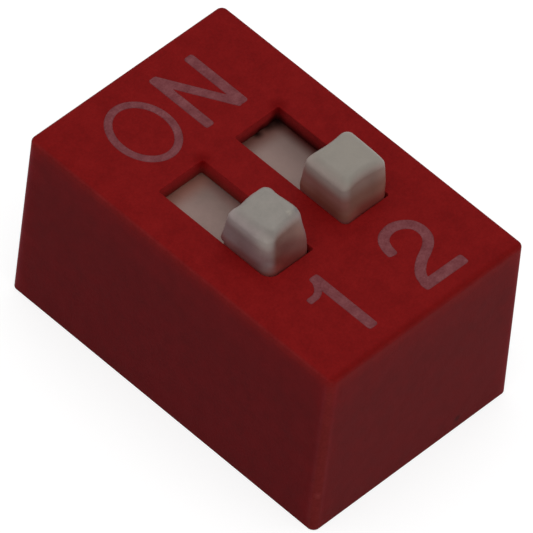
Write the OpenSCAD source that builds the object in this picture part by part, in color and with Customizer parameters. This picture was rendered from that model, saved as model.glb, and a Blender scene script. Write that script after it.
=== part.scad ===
// Two-position slide switch for a through-hole circuit board.
// X runs along the positions, +Y points to the ON side, +Z points up.
// The origin is at the middle of the cover's lower rim, which seats on the board.

/* [Grid] */
// Distance between neighbouring positions, and between the pins of one row
pitch = 2.54; // [2.4:0.02:2.8]
// Distance between the two rows of pins
row_spacing = 7.62; // [7.2:0.02:8.4]

/* [Cover] */
// Height of the cover above the board
body_h = 5.25; // [5:0.05:6]
// Wall beside the slider channels
side_wall = 0.88; // [0.7:0.02:1.2]
// Wall past the ends of the slider channels
end_wall = 0.78; // [0.66:0.02:1.2]
// Wall around the base
skirt_wall = 0.5; // [0.4:0.02:0.6]
// Rib between the two slider channels
divider = 0.34; // [0.2:0.02:0.5]
// Thickness of the roof that the knobs pass through
roof = 0.42; // [0.3:0.02:0.7]
// Radius of the upright edges
corner_r = 0.18; // [0.18:0.01:0.35]
// Radius of the edges around the top
top_r = 0.1; // [0.05:0.01:0.11]
// How far each side leans in from the rim to the top
cover_draft = 0.06; // [0.02:0.01:0.07]
// Radius of the inside corners
inner_r = 0.15; // [0.08:0.01:0.25]

/* [Sliders] */
// How far a knob moves from OFF to ON
travel = 2; // [1.6:0.1:2.4]
// Length of a knob along its slot
knob_l = 1.55; // [1.2:0.05:1.8]
// Width of a knob across its slot
knob_w = 1.38; // [1.1:0.02:1.5]
// Height of a knob above the cover
knob_h = 1.18; // [0.6:0.02:1.6]
// Radius of a knob's upright edges
knob_corner_r = 0.27; // [0.26:0.01:0.4]
// Radius of the edges around a knob's top
knob_top_r = 0.22; // [0.05:0.01:0.23]
// How far each side of a knob leans in over its height
knob_draft = 0.03; // [0.01:0.01:0.04]
// How far a shuttle reaches past the open end of its slot
shuttle_lap = 0.25; // [0.1:0.05:0.5]
// Wall of a shuttle around its spring pocket
shuttle_wall = 0.3; // [0.2:0.02:0.36]
// Radius of the locating boss in the pocket
boss_r = 0.16; // [0.1:0.01:0.22]
// Height of the locating boss
boss_h = 0.2; // [0.14:0.02:0.4]

/* [Base] */
// How far the base sits inside the rim
base_recess = 0.2; // [0.1:0.02:0.4]
// Thickness of the base
base_t = 2.4; // [2:0.05:2.6]
// Plastic outside each row of pins, at least
leg_cover = 0.3; // [0.2:0.02:0.5]
// Width of the coring slots in the underside
core_w = 0.8; // [0.4:0.05:0.9]
// Length of the coring slots in the underside
core_l = 3.6; // [2:0.1:5]
// Depth of the coring slots in the underside
core_depth = 1; // [0.4:0.1:1.4]
// Width of a snap nib
nib_w = 1.6; // [1:0.1:3]
// Height of a snap nib
nib_h = 0.5; // [0.3:0.05:0.8]
// How far a snap nib stands out of the base
nib_depth = 0.15; // [0.08:0.01:0.2]

/* [Terminals] */
// Thickness of the metal strip
strip_t = 0.28; // [0.2:0.01:0.35]
// Width of a contact pad
pad_w = 1.1; // [0.9:0.05:1.3]
// Width of a pin
pin_w = 0.6; // [0.4:0.02:0.7]
// Length of a pin below the board's face
pin_l = 3.3; // [2.8:0.1:4]
// Inside radius of the bend from pad to leg
bend_r = 0.15; // [0.1:0.01:0.3]
// Height of the taper from leg to pin
shoulder_h = 0.35; // [0.2:0.05:0.5]
// Height of the taper at a pin's tip
tip_h = 0.5; // [0.3:0.05:0.8]
// Width of a pin's tip
tip_w = 0.3; // [0.2:0.02:0.4]
// Plastic between the two pads of one position
pad_gap = 0.75; // [0.5:0.05:0.9]
// How far a pad reaches past the foot that rests on it
pad_lap = 0.35; // [0.2:0.05:0.4]
// Depth of the detent grooves across the pads
detent_depth = 0.05; // [0.02:0.01:0.08]
// Radius of the detent grooves
detent_r = 0.4; // [0.3:0.05:0.6]

/* [Contact bridges] */
// Thickness of the spring strip
spring_t = 0.12; // [0.08:0.01:0.15]
// Width of a contact bridge
spring_w = 1.3; // [1.1:0.05:1.4]
// Height of a contact bridge
spring_h = 1.18; // [1.05:0.01:1.3]
// Distance from the middle of a bridge to each foot
foot_reach = 1.5; // [1.4:0.05:1.8]
// Slope of the arms
arm_angle = 50; // [46:1:60]
// Bend radius where an arm leaves the middle
hip_r = 0.25; // [0.15:0.01:0.35]
// Bend radius of a foot
foot_r = 0.3; // [0.2:0.01:0.35]
// Angle by which a foot's tip turns up
tip_angle = 55; // [30:5:80]
// Length of a foot's tip
tip_run = 0.12; // [0.05:0.01:0.3]
// Width of the cut between the two fingers of an arm
finger_gap = 0.24; // [0.1:0.02:0.4]

/* [Clearances] */
// Between a knob and each end of its slot
end_gap = 0.03; // [0.02:0.01:0.15]
// Between a knob and each side of its slot
slot_gap = 0.035; // [0.02:0.005:0.1]
// Between a shuttle and the roof above it
roof_gap = 0.03; // [0.02:0.01:0.08]
// Between a shuttle and each side of its channel
side_gap = 0.05; // [0.02:0.01:0.1]
// Between a shuttle and the end of its channel at full travel
stop_gap = 0.18; // [0.05:0.005:0.3]
// Between a shuttle and the base under it
floor_gap = 0.08; // [0.04:0.01:0.15]
// Between a contact foot and the pads
foot_gap = 0.02; // [0.02:0.01:0.04]
// Between the base and the cover's skirt
base_fit = 0.03; // [0.01:0.01:0.06]
// Between the locating boss and its hole
boss_fit = 0.03; // [0.02:0.01:0.06]

/* [Hidden] */
$fn = 64;

COVER_RED = [0.44, 0.08, 0.085];
BASE_BLACK = [0.07, 0.07, 0.075];
SLIDER_WHITE = [0.54, 0.52, 0.48];
TIN = [0.72, 0.72, 0.7];
CONTACT_GOLD = [0.8, 0.62, 0.3];

// Cuts run this far past the faces that they open
past = 0.5;
// A strip's straight runs reach this far into its bends, so that they join
strip_lap = 0.01;

// Slider, slot and channel, worked out along Y from the travel
slot_l = travel + knob_l + 2 * end_gap;
slot_w = knob_w + 2 * slot_gap;
shuttle_l = slot_l + travel + 2 * shuttle_lap;
channel_l = shuttle_l + travel + 2 * stop_gap;
channel_w = pitch - divider;
shuttle_w = channel_w - 2 * side_gap;

// The cover is as long as its channels or the rows of pins need
pin_y = row_spacing / 2;
half_for_channels = channel_l / 2 + end_wall;
half_for_pins = pin_y + strip_t / 2 + leg_cover + base_fit + skirt_wall;
body_l = 2 * max(half_for_channels, half_for_pins);
body_w = 2 * pitch - divider + 2 * side_wall;

// Heights
base_top = base_recess + base_t;
roof_under = body_h - roof;
shuttle_top = roof_under - roof_gap;
shuttle_foot = base_top + floor_gap;
foot_z = base_top + foot_gap;
pocket_top = foot_z + spring_h;

// Base and its snap nibs
base_w = body_w - 2 * skirt_wall - 2 * base_fit;
base_l = body_l - 2 * skirt_wall - 2 * base_fit;
nib_z = base_recess + (base_t - nib_h) / 2;

// Terminals
shoulder_z = base_recess + shoulder_h;
number_pad_end = foot_reach - travel / 2 + pad_lap;
on_pad_end = number_pad_end + pad_gap;

// Contact bridge, from the ceiling of the pocket down to the pads
hip_drop = hip_r * (1 - cos(arm_angle));
foot_centre_h = foot_r + spring_t / 2;
arm_run = (spring_h - spring_t / 2 - hip_drop + foot_r * cos(arm_angle) - foot_centre_h) / sin(arm_angle);
flat_half = foot_reach - (hip_r + foot_r) * sin(arm_angle) - arm_run * cos(arm_angle);
pocket_w = shuttle_w - 2 * shuttle_wall;
pocket_l = shuttle_l - 2 * shuttle_wall;

// Places of the two positions along X, and of the knobs at rest
function position_x(i) = (i - 0.5) * pitch;
off_y = -travel / 2;

// ---- outlines ----

// Rectangle with round corners
module rounded_rect(w, l, r) {
    square([w - 2 * r, l], center = true);
    square([w, l - 2 * r], center = true);
    for (x = [-1, 1], y = [-1, 1])
        translate([x * (w / 2 - r), y * (l / 2 - r)]) circle(r);
}

// Tenths of a micron, so that the faces of two solids that meet have the same corners
function settle(length) = round(length * 1e4) / 1e4;

// Half the upright section of a moulded block: one leaning side and its round top edge
module half_section(half, h, r, draft) {
    lean = atan(draft / h);
    cx = half - settle((r + (h - r) * sin(lean)) / cos(lean));
    cz = h - r;
    polygon([[0, 0], [half, 0], [cx + settle(r * cos(lean)), cz + settle(r * sin(lean))], [cx, h], [0, h]]);
    intersection() {
        translate([cx, cz]) circle(r);
        translate([cx, cz]) square([r, r]);
    }
}

module whole_section(half, h, r, draft) {
    half_section(half, h, r, draft);
    mirror([1, 0]) half_section(half, h, r, draft);
}

// One bend of a strip that starts at the origin along +X and turns left, or right below zero
module bend(turn, r, t) {
    side = sign(turn);
    translate([0, side * r]) intersection() {
        difference() {
            circle(r + t / 2);
            circle(r - t / 2);
        }
        polygon([[0, 0], [0, -side * 2 * r], 2 * r * [sin(abs(turn) / 2), -side * cos(turn / 2)] * 1.5,
                 2 * r * [sin(abs(turn)), -side * cos(turn)]]);
    }
}

// A bent strip seen from its edge: each step is a straight run, a turn and its radius
module strip(steps, t, i = 0) {
    if (i < len(steps)) {
        run = steps[i][0];
        turn = steps[i][1];
        r = steps[i][2];
        before = i == 0 ? 0 : strip_lap;
        after = turn == 0 ? 0 : strip_lap;
        translate([-before, -t / 2]) square([before + run + after, t]);
        translate([run, 0]) {
            if (turn != 0) bend(turn, r, t);
            translate(r * [sin(abs(turn)), sign(turn) * (1 - cos(turn))])
                rotate(turn) strip(steps, t, i + 1);
        }
    }
}

// ---- moulded blocks ----

// Block whose sides lean in, with round upright edges and a round edge around its top
module moulded_block(w, l, h, r_upright, r_top, draft) {
    cx = w / 2 - r_upright;
    cy = l / 2 - r_upright;
    rotate([90, 0, 0]) linear_extrude(2 * cy, center = true) whole_section(w / 2, h, r_top, draft);
    rotate([90, 0, 90]) linear_extrude(2 * cx, center = true) whole_section(l / 2, h, r_top, draft);
    for (q = [0 : 3]) {
        across = q % 2 == 0 ? [cx, cy, 0] : [cy, cx, 0];
        rotate(90 * q) translate(across) rotate_extrude(angle = 90) half_section(r_upright, h, r_top, draft);
    }
}

// ---- cover ----

module channels() {
    for (i = [0, 1])
        translate([position_x(i), 0, base_top - past])
            linear_extrude(roof_under - base_top + past) rounded_rect(channel_w, channel_l, inner_r);
}

module slots() {
    for (i = [0, 1])
        translate([position_x(i), 0, roof_under + (roof + past) / 2 - past / 2])
            cube([slot_w, slot_l, roof + 2 * past], center = true);
}

module skirt_pocket() {
    translate([0, 0, -past]) linear_extrude(base_top + past)
        rounded_rect(body_w - 2 * skirt_wall, body_l - 2 * skirt_wall, inner_r);
}

// Recesses in the end walls that the snap nibs click into
module nib_recesses() {
    for (y = [-1, 1])
        translate([0, y * (base_l / 2 + base_fit + nib_depth / 2), nib_z + nib_h / 2])
            cube([nib_w + 2 * base_fit, nib_depth + 2 * base_fit, nib_h + 2 * base_fit], center = true);
}

module cover() {
    color(COVER_RED) difference() {
        moulded_block(body_w, body_l, body_h, corner_r, top_r, cover_draft);
        skirt_pocket();
        channels();
        slots();
        nib_recesses();
    }
}

// ---- base ----

// Wedge whose slope leads as the base is pushed up into the cover
module nib() {
    translate([nib_w / 2, 0, 0]) rotate([90, 0, -90]) linear_extrude(nib_w)
        polygon([[0, 0], [nib_depth, 0], [nib_depth, nib_h / 4], [0, nib_h]]);
}

module nibs() {
    for (turn = [0, 180])
        rotate(turn) translate([0, -base_l / 2, nib_z]) nib();
}

module coring() {
    for (i = [0, 1])
        translate([position_x(i), 0, base_recess - past])
            linear_extrude(core_depth + past) rounded_rect(core_w, core_l, core_w / 2.5);
}

module base() {
    color(BASE_BLACK) difference() {
        union() {
            translate([0, 0, base_recess]) linear_extrude(base_t)
                rounded_rect(base_w, base_l, inner_r - base_fit);
            nibs();
        }
        coring();
        for (i = [0, 1]) {
            terminal_blank(i, -1, number_pad_end);
            terminal_blank(i, 1, -on_pad_end);
        }
    }
}

// ---- terminals ----

// Front outline of a terminal: pad width, shoulder, pin and tapered tip
module terminal_outline() {
    pad = pad_w / 2;
    pin = pin_w / 2;
    tip = tip_w / 2;
    right = [[pad, base_top], [pad, shoulder_z + shoulder_h], [pin, shoulder_z],
             [pin, tip_h - pin_l], [tip, -pin_l]];
    left = [for (k = [len(right) - 1 : -1 : 0]) [-right[k].x, right[k].y]];
    polygon(concat(right, left));
}

// Strip that runs from the end of the pad to its row of pins and bends down there.
// side is -1 for the number side and 1 for the ON side; pad_end is measured from the middle, away from the pins.
module terminal_blank(i, side, pad_end) {
    turn_r = bend_r + strip_t / 2;
    pad_run = pin_y + pad_end - turn_r;
    leg_run = base_top - strip_t / 2 - turn_r + pin_l;
    steps = [[pad_run, -90, turn_r], [leg_run, 0, 0]];
    intersection() {
        translate([position_x(i), -side * pad_end, base_top - strip_t / 2])
            rotate([90, 0, side * 90]) linear_extrude(pad_w, center = true) strip(steps, strip_t);
        translate([position_x(i), side * pin_y, 0]) rotate([90, 0, 0])
            linear_extrude(2 * (pin_y + pad_end + past), center = true) terminal_outline();
    }
}

// Shallow groove that a contact foot drops into
module detent(i, y) {
    translate([position_x(i), y, base_top + detent_r - detent_depth]) rotate([0, 90, 0])
        cylinder(h = pad_w + past, r = detent_r, center = true);
}

module terminal_number_side(i) {
    color(TIN) difference() {
        terminal_blank(i, -1, number_pad_end);
        for (y = [off_y - foot_reach, off_y + foot_reach, -off_y - foot_reach]) detent(i, y);
    }
}

module terminal_on_side(i) {
    color(TIN) difference() {
        terminal_blank(i, 1, -on_pad_end);
        detent(i, foot_reach - off_y);
    }
}

// ---- sliders ----

// Shuttle that runs under the roof, hollow below for the contact bridge, with the knob on top of it
module slider(i) {
    shuttle_h = shuttle_top - shuttle_foot;
    color(SLIDER_WHITE) translate([position_x(i), off_y, 0]) {
        difference() {
            translate([0, 0, shuttle_foot]) linear_extrude(shuttle_h) rounded_rect(shuttle_w, shuttle_l, inner_r);
            translate([0, 0, shuttle_foot - past]) linear_extrude(pocket_top - shuttle_foot + past)
                rounded_rect(pocket_w, pocket_l, inner_r / 2);
        }
        translate([0, 0, pocket_top - boss_h]) cylinder(h = boss_h + roof / 2, r = boss_r);
        translate([0, 0, pocket_top + roof / 2])
            moulded_block(knob_w, knob_l, body_h + knob_h - pocket_top - roof / 2,
                          knob_corner_r, knob_top_r, knob_draft);
    }
}

// ---- contact bridges ----

module half_bridge() {
    steps = [[flat_half, -arm_angle, hip_r], [arm_run, arm_angle + tip_angle, foot_r], [tip_run, 0, 0]];
    strip(steps, spring_t);
}

// Bent spring strip with two fingers on each arm, held on the boss of its slider
module contact_bridge(i) {
    reach = foot_reach + foot_r + tip_run + past;
    slit_from = flat_half + hip_r;
    color(CONTACT_GOLD) translate([position_x(i), off_y, pocket_top - spring_t / 2]) difference() {
        rotate([90, 0, 90]) linear_extrude(spring_w, center = true) {
            half_bridge();
            mirror([1, 0]) half_bridge();
        }
        cylinder(h = 2 * spring_t, r = boss_r + boss_fit, center = true);
        for (turn = [0, 180])
            rotate(turn) translate([-finger_gap / 2, slit_from, -spring_h]) cube([finger_gap, reach, 2 * spring_h]);
    }
}

cover();
base();
terminal_number_side(0);  // terminal_number_side_1
terminal_number_side(1);  // terminal_number_side_2
terminal_on_side(0);  // terminal_on_side_1
terminal_on_side(1);  // terminal_on_side_2
slider(0);  // slider_1
slider(1);  // slider_2
contact_bridge(0);  // contact_bridge_1
contact_bridge(1);  // contact_bridge_2
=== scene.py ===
# %% [markdown]
# # A two-position slide switch for a circuit board
#
# The real object is a small red plastic cover over a black base. Two white sliders stand out of
# slots in its roof, and thin metal strips run from the contacts inside to the pins below.
# The exact solids come in as a fixed frame, in metres. This lesson adds what the eye sees:
# softly moulded skins for the cover and the sliders, the printed legends, and a finish for
# every surface. Nothing here moves or resizes the frame.

# %% Load the frame
import math

import bpy
import numpy as np
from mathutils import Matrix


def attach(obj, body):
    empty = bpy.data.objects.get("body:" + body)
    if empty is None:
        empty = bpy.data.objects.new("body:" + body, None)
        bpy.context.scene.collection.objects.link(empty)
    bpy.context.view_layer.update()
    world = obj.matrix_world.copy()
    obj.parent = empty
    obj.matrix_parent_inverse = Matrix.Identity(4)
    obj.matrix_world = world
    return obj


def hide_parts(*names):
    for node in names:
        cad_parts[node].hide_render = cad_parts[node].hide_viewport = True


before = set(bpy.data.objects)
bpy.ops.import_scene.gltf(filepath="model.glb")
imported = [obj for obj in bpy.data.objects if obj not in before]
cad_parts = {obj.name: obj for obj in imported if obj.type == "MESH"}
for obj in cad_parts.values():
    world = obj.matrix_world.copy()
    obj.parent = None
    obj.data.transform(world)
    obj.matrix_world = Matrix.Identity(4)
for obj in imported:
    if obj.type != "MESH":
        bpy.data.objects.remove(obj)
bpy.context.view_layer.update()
MM = 0.001

# %% [markdown]
# ## Sizes from the frame
#
# The lesson thinks in millimetres, because the whole switch is 10 mm long. Every size that the
# frame already has is measured on its solids, so that a changed solid changes the skin too.
# The helper below looks at the points of one solid inside a box and gives their two far corners.

# %% Measure a solid
FAR = 99        # past everything
NEAR = 0.005    # less apart than this counts as level


def measured(node, low=(-FAR, -FAR, -FAR), high=(FAR, FAR, FAR)):
    """Lowest and highest corner, in mm, of the points of a solid that lie inside a box."""
    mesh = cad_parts[node].data
    points = np.empty(len(mesh.vertices) * 3, np.float32)
    mesh.vertices.foreach_get("co", points)
    points = points.reshape(-1, 3) / MM
    inside = ((points >= low) & (points <= high)).all(axis=1)
    return points[inside].min(axis=0), points[inside].max(axis=0)


BODY_LOW, BODY_HIGH = measured("cover")
BODY_W, BODY_L, BODY_H = (float(size) for size in BODY_HIGH - BODY_LOW)
BASE_LOW, BASE_HIGH = measured("base")
print(f"body {BODY_W:.2f} x {BODY_L:.2f} x {BODY_H:.2f} mm")


# %% Slot, channel, knob and shuttle of each position
def position_sizes(number):
    """Names the sizes, in mm, of the slot, channel, knob and shuttle of one position.

    Each is measured in a box that holds only its own points: the slot's rim at the cover's face,
    the channel's ceiling past the slot's end, the plate beyond the knob, and the knob's foot.
    """
    low, high = measured(f"slider_{number}")
    x = float(low[0] + high[0]) / 2
    y = float(low[1] + high[1]) / 2
    sizes = {"x": x, "y": y, "shuttle": (low, high)}
    slot = measured("cover", (x - 1, -3, BODY_H - NEAR), (x + 1, 3, BODY_H + NEAR))
    sizes["slot"] = [float(size) / 2 for size in (slot[1] - slot[0])[:2]]
    under_roof = measured("cover", (x - 1.15, 3, 0.6 * BODY_H), (x + 1.15, 4.6, BODY_H - 0.2))[1]
    sizes["channel"] = [float(under_roof[0]) - x, float(under_roof[1])]
    sizes["roof_under"] = float(under_roof[2])
    plate = float(measured(f"slider_{number}", (x - 2, y + 1.5, 0), (x + 2, FAR, FAR))[1][2])
    sizes["plate"] = plate
    foot = measured(f"slider_{number}", (x - 0.9, y - 1.2, plate - NEAR), (x + 0.9, y + 1.2, BODY_H))
    sizes["knob"] = [float(size) / 2 for size in (foot[1] - foot[0])[:2]]
    sizes["pocket_top"] = float(measured(f"contact_bridge_{number}")[1][2])
    return sizes


POSITIONS = {number: position_sizes(number) for number in (1, 2)}
for number, sizes in POSITIONS.items():
    print(number, {name: np.round(size, 3).tolist() for name, size in sizes.items()})

# %% [markdown]
# ## The camera
#
# The switch is seen from above, past one corner, with a long lens from far away, so that its
# parallel edges stay almost parallel. The camera comes first, because the width of its view says
# how small a detail can be and still show.

# %% Aim the camera
CAMERA_TURN = math.radians(50.473)
CAMERA_HEIGHT = math.radians(49.183)
CAMERA_ROLL = math.radians(6.920)
CAMERA_DISTANCE = 246.56
AIM = np.array([-0.0254, 0.0012, 2.5837])
LENS = 713.83
FILM_WIDTH = 36


def stand(thing, place, back, upwards, roll=0.0):
    """Stands a camera or a lamp at a place, in mm, so that it looks the opposite way to back.

    Its right side is the cross product of upwards and back, and its top that of back and right.
    Both are rolled: cos * right + sin * top, and cos * top - sin * right.
    """
    right = np.cross(upwards, back)
    right /= np.linalg.norm(right)
    top = np.cross(back, right)
    c, s = math.cos(roll), math.sin(roll)
    turned = np.eye(4)
    turned[:3, 0] = c * right + s * top
    turned[:3, 1] = c * top - s * right
    turned[:3, 2] = back
    turned[:3, 3] = place * MM
    stood = bpy.data.objects.new(thing.name, thing)
    bpy.context.scene.collection.objects.link(stood)
    stood.matrix_world = turned.T.tolist()
    return stood


def aim_camera():
    """Puts the camera on a sphere about the aim point: turned, raised and rolled."""
    data = bpy.data.cameras.new("camera")
    data.lens = LENS
    data.sensor_width = FILM_WIDTH
    data.clip_start = 0.01
    data.clip_end = 10
    level = math.cos(CAMERA_HEIGHT)
    back = np.array([-math.sin(CAMERA_TURN) * level, -math.cos(CAMERA_TURN) * level,
                     math.sin(CAMERA_HEIGHT)])
    place = AIM + CAMERA_DISTANCE * back
    bpy.context.scene.camera = stand(data, place, back, [0, 0, 1], CAMERA_ROLL)


aim_camera()
bpy.context.scene.view_settings.view_transform = "Standard"
print(f"the view is {CAMERA_DISTANCE * FILM_WIDTH / LENS:.2f} mm wide at the aim point")

# %% [markdown]
# ## One outline for every moulded piece
#
# Cover, slot, channel, shuttle, knob and pocket all have the same kind of section: a rectangle
# with round corners. Such an outline is a rectangle of straight runs plus a circle of the corner
# radius. Written that way, one formula gives any of them, down to a full circle, and all have
# the same number of points, so that sections of different sizes can be joined by a skin.

# %% The outline's formula
ARC_STEPS = 8
RUN_STEPS = 10


def outline_weights(run_steps=RUN_STEPS, arc_steps=ARC_STEPS):
    """Straight and circle parts of a round-cornered rectangle, anticlockwise from the +X side.

    A point is straight * (half size - radius) + circle * radius, for x and for y. In the first
    quarter the straight part climbs the +X side, stays in the corner and follows the +Y side,
    while the circle part turns from +X to +Y in the corner. The other quarters mirror it.
    """
    climb = np.arange(run_steps) / run_steps
    turn = np.linspace(0, math.pi / 2, arc_steps + 1)
    ones, zeros = np.ones(run_steps), np.zeros(run_steps)
    straight = np.array([np.concatenate([ones, np.ones(arc_steps + 1), 1 - climb[1:], [0]]),
                         np.concatenate([climb, np.ones(arc_steps + 1), ones[1:], [1]])])
    circle = np.array([np.concatenate([ones, np.cos(turn), zeros[1:], [0]]),
                       np.concatenate([zeros, np.sin(turn), ones[1:], [1]])])
    quarters = []
    for index, (sign_x, sign_y) in enumerate([(1, 1), (-1, 1), (-1, -1), (1, -1)]):
        parts = np.concatenate([straight, circle]) * np.array([[sign_x], [sign_y]] * 2)
        quarters.append(parts[:, ::-1][:, :-1] if index % 2 else parts[:, :-1])
    return np.concatenate(quarters, axis=1)


def sections(rows, centre=(0, 0), run_steps=RUN_STEPS, arc_steps=ARC_STEPS):
    """Grid of points: one round-cornered outline for each row of (half x, half y, radius, z)."""
    straight_x, straight_y, circle_x, circle_y = outline_weights(run_steps, arc_steps)
    half_x, half_y, radius, z = (column[:, None] for column in np.array(rows, float).T)
    x = centre[0] + straight_x * (half_x - radius) + circle_x * radius
    y = centre[1] + straight_y * (half_y - radius) + circle_y * radius
    return np.stack([x, y, z + 0 * x], axis=-1)


print("points in an outline:", outline_weights().shape[1])

# %% [markdown]
# ## From a grid of points to a skin
#
# A skin joins each outline to the next with quads. The two ends are closed: by a fan to a middle
# point where the piece ends in a dome, or by one flat face where it ends flat. All point numbers
# are worked out as whole arrays.

# %% Skin a grid
def new_piece(name, points, faces):
    """Mesh object in the scene over points in mm; a face is a list of its points' numbers."""
    mesh = bpy.data.meshes.new(name)
    mesh.from_pydata((points * MM).tolist(), [], faces)
    mesh.update()
    piece = bpy.data.objects.new(name, mesh)
    bpy.context.scene.collection.objects.link(piece)
    return piece


def skin(name, grid, fans=(True, True)):
    """Mesh object over a grid whose rows are closed outlines that rise along the piece.

    The quad at row r and place p joins (r, p), (r, p + 1), (r + 1, p + 1) and (r + 1, p).
    """
    rows, around = grid.shape[:2]
    points = grid.reshape(-1, 3)
    here = np.arange(rows - 1)[:, None] * around + np.arange(around)
    beside = np.arange(rows - 1)[:, None] * around + (np.arange(around) + 1) % around
    quads = np.stack([here, beside, beside + around, here + around], axis=-1).reshape(-1, 4).tolist()
    first = np.arange(around)
    last = first + (rows - 1) * around
    ends = []
    for ring, fan in ((first[::-1], fans[0]), (last, fans[1])):
        if fan:
            middle = len(points)
            points = np.vstack([points, points[ring].mean(axis=0)])
            ends += [[int(a), int(b), middle] for a, b in zip(ring, np.roll(ring, -1))]
        else:
            ends.append(ring.tolist())
    return new_piece(name, points, quads + ends)


def smooth(piece, angle=32):
    """Smooth shading that breaks at edges sharper than the angle, with flat faces kept flat."""
    piece.data.shade_smooth()
    piece.data.set_sharp_from_angle(angle=math.radians(angle))
    weighted = piece.modifiers.new("flat_faces_stay_flat", "WEIGHTED_NORMAL")
    weighted.keep_sharp = True
    weighted.weight = 100


# %% [markdown]
# ## Round edges
#
# Nothing that comes out of a mould has a knife edge. A round edge in a profile is a quarter
# circle: while the outline shrinks by the cosine, the height grows by the sine. The same rows
# serve an outer edge, an inner edge and the flared mouth of a slot.

# %% Quarter circles for profiles
SIDE_SHARES = (0.02, 0.5, 0.98)     # where up a plain side the sections lie, as shares of it


def quarter(start, end, steps=6):
    """Cosine and sine of an even run of angles, given in degrees."""
    angle = np.radians(np.linspace(start, end, steps + 1))
    return np.cos(angle), np.sin(angle)


def block_rows(half_x, half_y, height, upright, edge, lean):
    """Rows of a moulded block from its rim to the end of its round top edge.

    The sides lean in evenly with height. Around the top edge the outline shrinks by
    edge * (1 - cos) while the height grows by edge * sin.
    """
    rows = [(half_x, half_y, upright, 0.0)]
    for share in SIDE_SHARES:
        z = share * (height - edge)
        rows.append((half_x - lean * z / height, half_y - lean * z / height, upright, z))
    for c, s in zip(*quarter(0, 90)):
        inset = lean * (height - edge) / height + edge * (1 - c)
        radius = upright - edge * (1 - c)
        rows.append((half_x - inset, half_y - inset, radius, height - edge + edge * s))
    return rows


print("heights round an edge:", np.round(quarter(0, 90)[1], 2).tolist())

# %% [markdown]
# ## The cover
#
# The real cover is one red moulding, open below. It could be kept as the plain solid, but its
# slots would have knife edges, and a moulded slot has a soft mouth that catches the light.
# So its skin is made again from the same sizes: a block with leaning sides, from which the
# pocket for the base, the two channels and the two slots are cut, each as a skin of its own.
# On the real one both slots lie a little further to -X than their positions, and their corner
# next to the knob is rounder than the others.

# %% The cover's blank
UPRIGHT_EDGE = 0.18     # radius of the upright edges
TOP_EDGE = 0.1          # radius of the round top edge
COVER_LEAN = 0.06       # how far a side would lean in over the whole height
PAST = 0.5              # how far a cutter reaches past what it cuts

cover_rows = block_rows(BODY_W / 2, BODY_L / 2, BODY_H, UPRIGHT_EDGE, TOP_EDGE, COVER_LEAN)
cover_skin = skin("cover_skin", sections(cover_rows, run_steps=12), fans=(False, False))
print("blank:", len(cover_skin.data.polygons), "faces")


# %% The cutters
MOUTH = 0.015                           # radius of a slot's soft mouth
INSIDE_CORNER = 0.15                    # radius of the corners inside the cover and the sliders
BASE_FIT = 0.03                         # gap round the base
SLOT_CORNER = 0.05
SLOT_SHIFT = {1: -0.06, 2: -0.1}        # along X
SLOT_NEAR_CORNER = {1: 0.25, 2: 0.14}   # radius at the corner towards -X and -Y


def slot_and_channel(number):
    """Cutter of one position: channel below the roof, slot through it, flared at its mouth.

    The mouth's outline grows by mouth * (1 - cos) while its height grows by mouth * sin. The
    corner towards -X and -Y is rounder: an arc's distance from its sides grows with its radius.
    """
    sizes = POSITIONS[number]
    slot_x, slot_y = sizes["slot"]
    channel_x, channel_y = sizes["channel"]
    rows = [(channel_x, channel_y, INSIDE_CORNER, BASE_HIGH[2] - PAST),
            (channel_x, channel_y, INSIDE_CORNER, sizes["roof_under"]),
            (slot_x, slot_y, SLOT_CORNER, sizes["roof_under"])]
    for c, s in zip(*quarter(0, 90)):
        grow = MOUTH * (1 - c)
        rows.append((slot_x + grow, slot_y + grow, SLOT_CORNER + grow, BODY_H - MOUTH + MOUTH * s))
    rows.append((slot_x + MOUTH, slot_y + MOUTH, SLOT_CORNER + MOUTH, BODY_H + PAST))
    grid = sections(rows, (sizes["x"], 0), run_steps=2)
    from_middle = grid[2:, :, :2] - (sizes["x"], 0)
    inset = np.abs(from_middle).max(axis=1, keepdims=True) - np.abs(from_middle)
    near = (from_middle.max(axis=-1) < 0) & (inset.max(axis=-1) < SLOT_CORNER + MOUTH + NEAR * MOUTH)
    grid[2:, :, :2] += near[..., None] * inset * (SLOT_NEAR_CORNER[number] / SLOT_CORNER - 1)
    grid[2:, :, 0] += SLOT_SHIFT[number]
    return skin(f"cut_position_{number}", grid, fans=(False, False))


def skirt_pocket():
    """Cutter for the space that the base fills, as long as the base with its snap nibs."""
    half_x, half_y = (float(size) / 2 + BASE_FIT for size in (BASE_HIGH - BASE_LOW)[:2])
    rows = [(half_x, half_y, INSIDE_CORNER, -PAST), (half_x, half_y, INSIDE_CORNER, float(BASE_HIGH[2]))]
    return skin("cut_skirt", sections(rows, run_steps=4, arc_steps=4), fans=(False, False))


def carve(piece, cutters):
    """Cuts the cutters out of a piece for good and removes them."""
    for cutter in cutters:
        cut = piece.modifiers.new(cutter.name, "BOOLEAN")
        cut.operation = "DIFFERENCE"
        cut.solver = "EXACT"
        cut.object = cutter
    bpy.context.view_layer.update()
    evaluated = piece.evaluated_get(bpy.context.evaluated_depsgraph_get())
    carved = bpy.data.meshes.new_from_object(evaluated)
    piece.modifiers.clear()
    piece.data = carved
    for cutter in cutters:
        bpy.data.objects.remove(cutter)


carve(cover_skin, [skirt_pocket(), slot_and_channel(1), slot_and_channel(2)])
smooth(cover_skin)
print("cover:", len(cover_skin.data.polygons), "faces")

# %% [markdown]
# ## The sliders
#
# Each slider is one white moulding: a shuttle that is hollow below for the contact spring, a
# plate that closes the slot from inside, and the knob on top. Walked from the inside out, its
# sections are all round-cornered rectangles, so one skin can cover all of it: from the tip of
# the small boss, round the pocket, down its wall, round the rim, up the outside, over the plate
# and up the knob to the middle of its top.

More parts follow.
